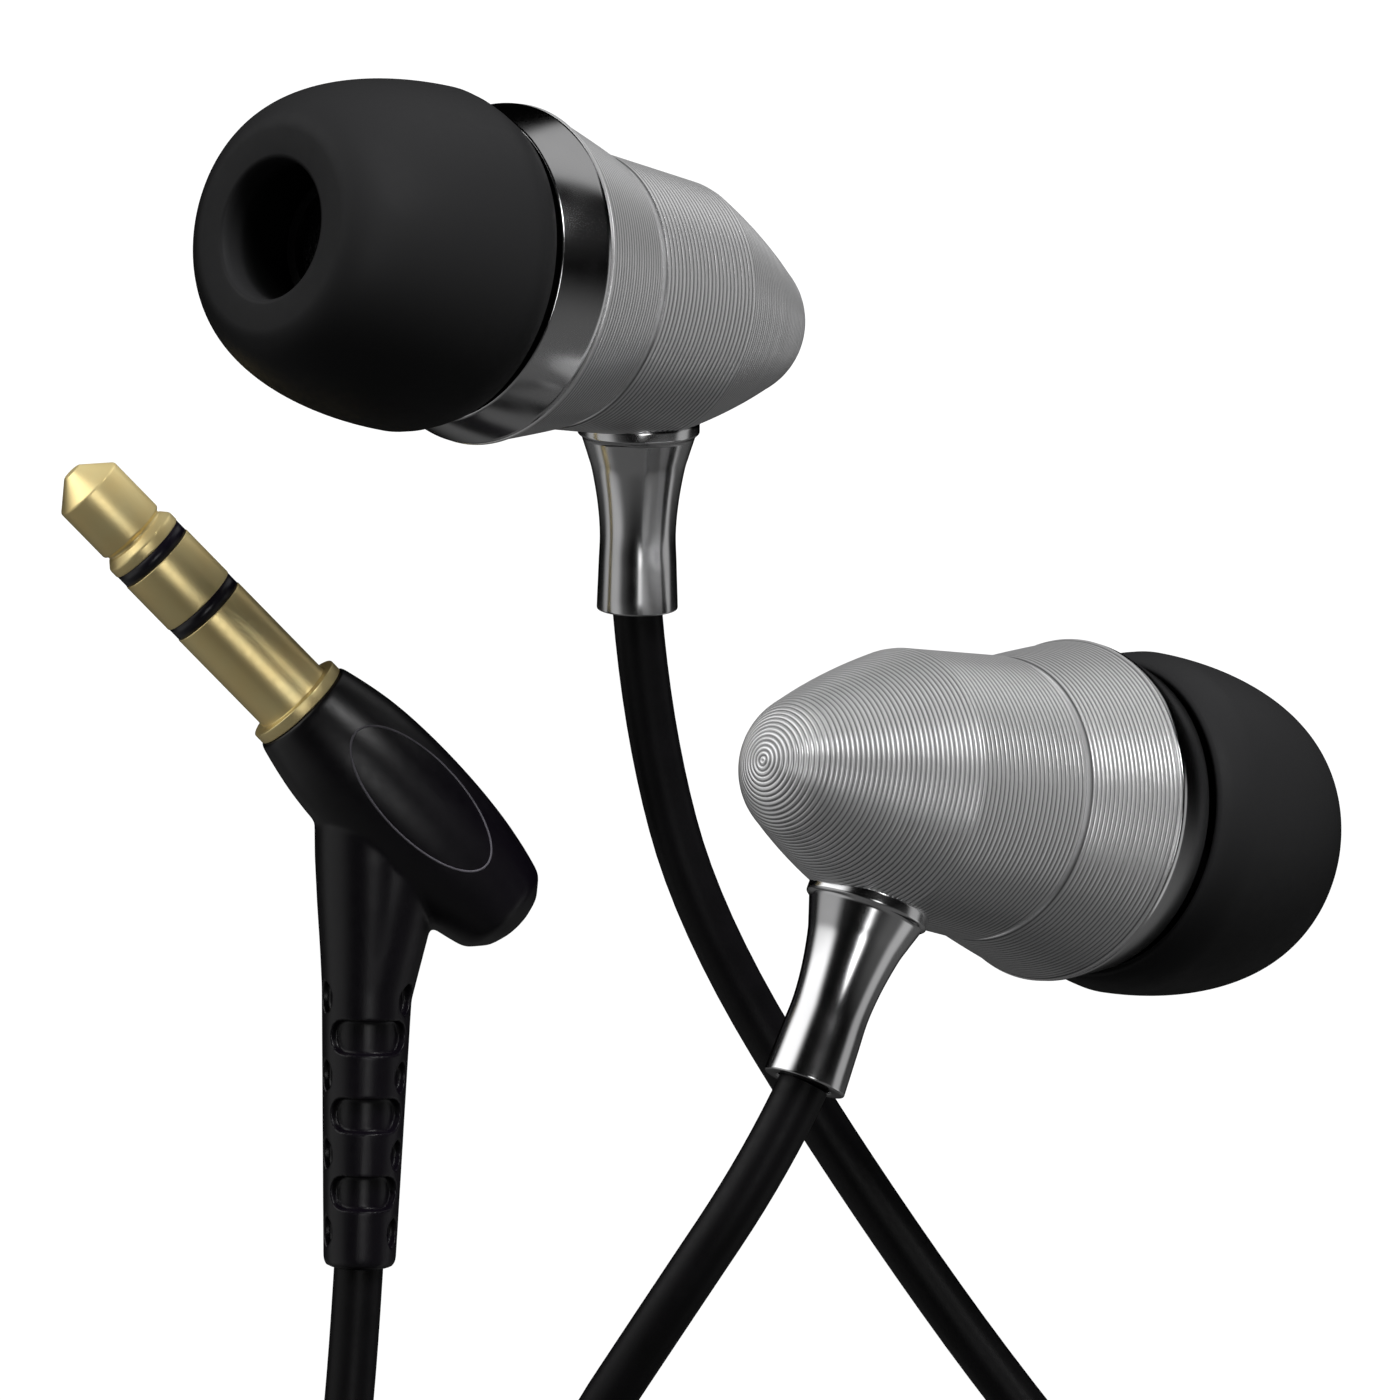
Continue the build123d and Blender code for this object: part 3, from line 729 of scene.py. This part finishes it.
def oval_trim(handle):
    """Thin raised line, oval from above, laid on the barrel."""
    graph = bpy.context.evaluated_depsgraph_get()
    tree = BVHTree.FromObject(handle, graph)
    inverse = handle.matrix_world.inverted()
    along = -JACK_DIR
    up = (Vector((0, 0, 1)) - along * along.z).normalized()
    across = along.cross(up)
    from_collar, to_side, half_long, half_wide, overhead = 5.95, 0.95, 4.0, 1.65, 6
    centre = COLLAR_AT + along * from_collar * MM - across * to_side * MM
    count, sides, radius = 120, 6, 0.055 * MM
    path = []
    for k in range(count):
        turn = 2 * math.pi * k / count
        spot = centre + along * half_long * MM * math.cos(turn) + across * half_wide * MM * math.sin(turn)
        above = spot + up * overhead * MM
        hit = tree.ray_cast(inverse @ above, inverse.to_3x3() @ -up)[0]
        path.append(handle.matrix_world @ hit)
    verts, faces = [], []
    for k in range(count):
        ahead = (path[(k + 1) % count] - path[k - 1]).normalized()
        side = ahead.cross(up).normalized()
        lift = side.cross(ahead)
        for j in range(sides):
            turn = 2 * math.pi * j / sides
            verts.append(path[k] + (side * math.cos(turn) + lift * math.sin(turn) * 0.5) * radius)
    for k in range(count):
        after = (k + 1) % count
        for j in range(sides):
            beside = (j + 1) % sides
            faces.append([k * sides + j, k * sides + beside, after * sides + beside, after * sides + j])
    piece = add_mesh("handle_oval_line", verts, faces)
    return finish_piece(piece, ROOT, "trim", ["handle_oval_trim"])


# ---------------------------------------------------------------- cords
CORD_D = 2.1
COIL_LIFT = 0.5            # the ties hold the coils this far above z = 0
BRANCH_COIL_AT = (12.1, -57.6)
MAIN_COIL_AT = (-18.3, -58.6)
BRANCH_COIL_R = 13.3
MAIN_COIL_R = 14.35
SPLITTER_IN = 5.9          # x of the end with the two earphone cords
SPLITTER_OUT = -8.1        # x of the end with the main cord
SPLITTER_Y = -74.6
SPLITTER_Z = 2.2
INTO_SPLITTER = 3.0        # how far the earphone cords go in
SPLITTER_APART = 1.6       # from the splitter's middle line to each of them


def layer_z(layer):
    """Height of the cord's centre in one layer of a coil."""
    return COIL_LIFT + CORD_D / 2 + CORD_D * layer


def wound(centre, outer_r, start, total, layers):
    """Control points of a coil wound clockwise in flat layers, in and out by turns."""
    step = 30.0
    reach = 1 / 0.966      # a quadratic spline runs inside its control circle by this much
    leaves, arrives, climb = 0.93, 0.07, 0.14      # where the cord changes layer, in shares of a layer
    per_layer = total / len(layers)
    drop = CORD_D * per_layer / 360
    points = []
    for k in range(int(total / step) + 1):
        angle = k * step
        layer = min(int(angle / per_layer), len(layers) - 1)
        share = angle / per_layer - layer
        inward = share if layer % 2 == 0 else 1 - share
        height = layer_z(layers[layer])
        if share > leaves and layer + 1 < len(layers):
            height += (layer_z(layers[layer + 1]) - height) * (share - leaves) / climb
        if share < arrives and layer > 0:
            height += (layer_z(layers[layer - 1]) - height) * (arrives - share) / climb
        turn = math.radians(start - angle)
        radius = (outer_r - drop * inward) * reach
        points.append((centre[0] + radius * math.cos(turn), centre[1] + radius * math.sin(turn), height))
    return points


def cord_curve(name, points, replaced):
    """One open NURBS cord steered by control points in millimetres."""
    curve = bpy.data.curves.new(name, "CURVE")
    curve.dimensions = "3D"
    spline = curve.splines.new("NURBS")
    spline.points.add(len(points) - 1)
    for point, place in zip(spline.points, points):
        point.co = (*(c * MM for c in place), 1.0)
    spline.order_u = 3
    spline.use_endpoint_u = True
    spline.resolution_u = 8
    curve.bevel_depth = CORD_D / 2 * MM
    curve.bevel_resolution = 7
    curve.use_fill_caps = True
    piece = bpy.data.objects.new(name, curve)
    bpy.context.scene.collection.objects.link(piece)
    return finish_piece(piece, ROOT, "cord_sheath", replaced)


def stem_exit(side):
    """Where the cord leaves the stem, in millimetres."""
    return tuple(EARS[side][1] @ Vector((0, 0, STEM_END * MM)) / MM)


def build_cords():
    left = [
        stem_exit("left"), (-5.35, -5.8, 2.9), (-3.1, -14.2, 1.05), (3.5, -25.0, 1.05), (11.6, -36.3, 1.05),
        *wound(BRANCH_COIL_AT, BRANCH_COIL_R, 35.0, 4 * 360 + 95, [0, 1]),
        (11.8, -73.0, 2.6), (SPLITTER_IN - INTO_SPLITTER, SPLITTER_Y + SPLITTER_APART, SPLITTER_Z),
    ]
    right = [
        stem_exit("right"), (-0.4, -23.35, 21.2), (-4.4, -29.4, 19.7), (-9.4, -37.2, 15.6),
        (-5.1, -45.8, 12.6), (3.1, -46.8, 9.9),
        *wound(BRANCH_COIL_AT, BRANCH_COIL_R, 90.0, 4 * 360 + 120, [3, 2]),
        (16.5, -76.2, 3.4), (SPLITTER_IN - INTO_SPLITTER, SPLITTER_Y - SPLITTER_APART, SPLITTER_Z),
    ]
    main = [
        (SPLITTER_OUT, SPLITTER_Y, SPLITTER_Z), (-16.1, -76.0, 3.0), (-24.7, -73.6, 5.6),
        *wound(MAIN_COIL_AT, MAIN_COIL_R, 210.0, 10 * 360 + 80.5, [3, 2, 1, 0]),
        (-18.8, -40.6, 1.05), (-17.95, -34.0, 1.3), tuple((RELIEF_END - RELIEF_DIR * 1.0 * MM) / MM),
    ]
    cords = {
        "left": cord_curve("left_cord", left, ["left_cord_front", "left_cord_coil", "left_cord_back"]),
        "right": cord_curve("right_cord", right, ["right_cord_front", "right_cord_coil", "right_cord_back"]),
        "main": cord_curve("main_cord", main, ["main_cord_front", "main_cord_coil", "main_cord_back"]),
    }
    return cords, (left[0], right[0], main[0])


def tie_loop(centre, outer_r, turns, degrees):
    """Ridged strap with rounded corners about a coil's section, as verts and faces."""
    layers, room_w, room_h = 4, 0.84, 0.48
    half_w = (CORD_D * (turns + 1) + room_w) / 2
    half_h = (CORD_D * layers + room_h) / 2
    corner, steps, spacing = 1.25, 10, 0.12
    ridge_height, ridged_above = 0.05, 0.22
    path = []
    for quarter, (x, z) in enumerate([(1, 1), (-1, 1), (-1, -1), (1, -1)]):
        for k in range(steps + 1):
            turn = math.radians(90 * (quarter + k / steps))
            wide = x * (half_w - corner) + corner * math.cos(turn)
            high = z * (half_h - corner) + corner * math.sin(turn)
            path.append((wide, high))
    loop = []
    for a, b in zip(path, path[1:] + path[:1]):
        a, b = Vector(a), Vector(b)
        count = max(1, round((b - a).length / spacing))
        loop += [a.lerp(b, k / count) for k in range(count)]
    section = [(-1.3, 0.0), (-1.22, 0.2), (-1.0, 0.24), (1.0, 0.24)]
    section += [(1.22, 0.2), (1.3, 0.0), (1.2, -0.2), (-1.2, -0.2)]
    place = Matrix.Rotation(math.radians(degrees), 4, "Z")
    reach = outer_r - CORD_D * turns / 2
    middle = place @ Vector((reach, 0, 0)) + Vector((*centre, COIL_LIFT + CORD_D * layers / 2))
    verts, faces = [], []
    for i, here in enumerate(loop):
        ahead = (loop[(i + 1) % len(loop)] - loop[i - 1]).normalized()
        outward = Vector((ahead.y, -ahead.x))
        ridge = ridge_height if i % 4 < 2 else 0.0
        for across, thick in section:
            lift = thick + (ridge if thick > ridged_above else 0.0)
            spot = here + outward * lift
            verts.append((place @ Vector((spot.x, across, spot.y)) + middle) * MM)
    row = len(section)
    for i in range(len(loop)):
        after = (i + 1) % len(loop)
        for j in range(row):
            beside = (j + 1) % row
            faces.append([i * row + j, after * row + j, after * row + beside, i * row + beside])
    return verts, faces


def coil_ties(node, centre, outer_r, turns, angles):
    """Both ties of one coil as one piece."""
    verts, faces = [], []
    for degrees in angles:
        more, sides = tie_loop(centre, outer_r, turns, degrees)
        faces += [[len(verts) + corner for corner in side] for side in sides]
        verts += more
    piece = add_mesh(node + "_straps", verts, faces)
    face_outwards(piece.data)
    return finish_piece(piece, ROOT, SLOT_OF[node], [node])


def splitter_body():
    """Moulded Y splitter: flat and wide at the two cords, narrow at the main cord, with grip rings."""
    stations = (SPLITTER_OUT, -5.5, -3.0, 0.0, 3.0, SPLITTER_IN)
    widths = smooth_line(list(zip(stations, (1.75, 1.9, 2.5, 3.15, 3.42, 3.3))), 14)
    heights = smooth_line(list(zip(stations, (1.7, 1.8, 1.95, 2.05, 2.05, 1.85))), 14)
    around, squareness = 48, 0.62
    rounding, rounded_rows = 0.42, 2.5
    grip_from, grip_to, grip_pitch, grip_width, grip_depth = -7.3, -5.0, 0.8, 0.3, 0.13
    verts, faces = [], []
    last = len(widths) - 1
    for i, ((x, half_w), (_, half_h)) in enumerate(zip(widths, heights)):
        ease = rounding * max(0.0, 1 - min(i, last - i) / rounded_rows) ** 2
        in_grip = grip_from < x < grip_to and (x - grip_from) % grip_pitch < grip_width
        groove = grip_depth if in_grip else 0.0
        for k in range(around):
            turn = 2 * math.pi * k / around
            c, s = math.cos(turn), math.sin(turn)
            y = math.copysign(abs(c) ** squareness, c) * (half_w - ease - groove)
            z = math.copysign(abs(s) ** squareness, s) * (half_h - ease - groove)
            verts.append(Vector((x, SPLITTER_Y + y, SPLITTER_Z + z)) * MM)
    for i in range(last):
        here, after = i * around, (i + 1) * around
        for k in range(around):
            beside = (k + 1) % around
            faces.append([here + k, here + beside, after + beside, after + k])
    faces += [list(range(around)), list(range(last * around, (last + 1) * around))]
    piece = add_mesh("cord_splitter_moulded", verts, faces)
    face_outwards(piece.data)
    return finish_piece(piece, ROOT, SLOT_OF["cord_splitter"], ["cord_splitter"])


def build_fittings():
    """Splitter and ties, by name."""
    return {
        "splitter": splitter_body(),
        "branch": coil_ties("branch_coil_ties", BRANCH_COIL_AT, BRANCH_COIL_R, 2.0, (180, 0)),
        "main": coil_ties("main_coil_ties", MAIN_COIL_AT, MAIN_COIL_R, 2.5, (165, 345)),
    }


def dress_cad_nodes():
    """Give every CAD node that still shows its own material."""
    for piece in list(bpy.context.scene.objects):
        node = piece.get("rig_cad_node")
        if not node:
            continue
        material = MATERIALS[SLOT_OF[node]]
        if node.endswith("nozzle_mesh"):
            material = MESH_MATERIAL
        if not piece.material_slots:
            piece.data.materials.append(material)
        for slot in piece.material_slots:
            slot.material = material


# ---------------------------------------------------------------- table and light


def add_table():
    """Plain white table that only the camera sees; shiny pieces reflect the dark studio instead.

    It lies below the object, because the right ear tip at its pull limit goes 4.5 mm below z = 0.
    """
    drop = -5 * MM
    table = add_mesh("table", [(-3, -3, drop), (3, -3, drop), (3, 3, drop), (-3, 3, drop)], [[0, 1, 2, 3]])
    material = bpy.data.materials.new("table")
    material.use_nodes = True
    shader = material.node_tree.nodes["Principled BSDF"]
    shader.inputs["Base Color"].default_value = (0.05, 0.05, 0.05, 1)
    shader.inputs["Roughness"].default_value = 1.0
    shader.inputs["Specular IOR Level"].default_value = 0.0
    shader.inputs["Emission Color"].default_value = (1, 1, 1, 1)
    shader.inputs["Emission Strength"].default_value = 1.0
    table.data.materials.append(material)
    table.visible_glossy = False
    table.visible_diffuse = False


class Surround:
    """World shader: dark studio with soft panels, each set by its direction in degrees."""

    def __init__(self):
        world = bpy.data.worlds.new("studio")
        world.use_nodes = True
        bpy.context.scene.world = world
        self.tree = world.node_tree
        ray = self.tree.nodes.new("ShaderNodeTexCoord").outputs["Generated"]
        parts = self.tree.nodes.new("ShaderNodeSeparateXYZ")
        self.tree.links.new(ray, parts.inputs["Vector"])
        self.x, self.y, self.z = (parts.outputs[axis] for axis in "XYZ")
        self.height = self.math("MULTIPLY", self.math("ARCSINE", self.z), math.degrees(1))
        self.total = self.math("ADD", 0.0, 0.0)

    def math(self, operation, a, b=0.0):
        node = self.tree.nodes.new("ShaderNodeMath")
        node.operation = operation
        for socket, value in zip(node.inputs, (a, b)):
            if isinstance(value, (int, float)):
                socket.default_value = value
            else:
                self.tree.links.new(value, socket)
        return node.outputs["Value"]

    def edge(self, value, start, end):
        """Goes smoothly from 0 at start to 1 at end."""
        node = self.tree.nodes.new("ShaderNodeMapRange")
        node.interpolation_type = "SMOOTHSTEP"
        node.inputs["From Min"].default_value = start
        node.inputs["From Max"].default_value = end
        self.tree.links.new(value, node.inputs["Value"])
        return node.outputs["Result"]

    def panel(self, bearing, width, soft, low, high, soft_height, strength):
        """Panel centred on a bearing from +X, between two heights above the horizon."""
        c, s = math.cos(math.radians(bearing)), math.sin(math.radians(bearing))
        ahead = self.math("ADD", self.math("MULTIPLY", self.x, c), self.math("MULTIPLY", self.y, s))
        aside = self.math("SUBTRACT", self.math("MULTIPLY", self.y, c), self.math("MULTIPLY", self.x, s))
        turn = self.math("ABSOLUTE", self.math("ARCTAN2", aside, ahead))
        across = self.edge(turn, math.radians(width / 2 + soft), math.radians(width / 2))
        above = self.edge(self.height, low - soft_height, low)
        below = self.edge(self.height, high + soft_height, high)
        lit = self.math("MULTIPLY", across, self.math("MULTIPLY", above, below))
        self.total = self.math("ADD", self.total, self.math("MULTIPLY", lit, strength))

    def finish(self):
        self.tree.links.new(self.total, self.tree.nodes["Background"].inputs["Strength"])
        self.tree.nodes["Background"].inputs["Color"].default_value = (1, 1, 1, 1)


def add_light():
    """Soft panels placed for the reflections in the picture, and a key light.

    The key light is hidden from reflections, so it lights only what isn't fully metallic.
    """
    studio = Surround()
    studio.panel(bearing=147, width=22, soft=16, low=-10, high=28, soft_height=20, strength=1.5)
    studio.panel(bearing=188, width=40, soft=20, low=-12, high=24, soft_height=20, strength=0.42)
    studio.panel(bearing=-18, width=50, soft=12, low=-14, high=2, soft_height=12, strength=0.42)
    studio.panel(bearing=60, width=30, soft=4, low=-38, high=4, soft_height=5, strength=0.46)
    studio.panel(bearing=-90, width=110, soft=40, low=-45, high=30, soft_height=35, strength=0.11)
    studio.panel(bearing=-30, width=70, soft=25, low=72, high=80, soft_height=7, strength=3.0)
    studio.panel(bearing=50, width=12, soft=7, low=37, high=46, soft_height=6, strength=10.0)
    studio.finish()
    data = bpy.data.lights.new("key", "AREA")
    data.shape = "DISK"
    data.size = 0.3
    data.energy = 9.6
    key = bpy.data.objects.new("key", data)
    key.location = (0.12, 0.445, 0.24)
    key.rotation_euler = Vector(key.location).to_track_quat("Z", "Y").to_euler()
    key.visible_glossy = False
    bpy.context.scene.collection.objects.link(key)
    bpy.context.scene.view_settings.view_transform = "Standard"


build_earphones()
plug_pieces = build_jack()
moulded = plug_handle()
plug_pieces += [moulded, oval_trim(moulded)]
cord_pieces, cord_exits = build_cords()
fitting_pieces = build_fittings()
dress_cad_nodes()
add_table()
add_light()
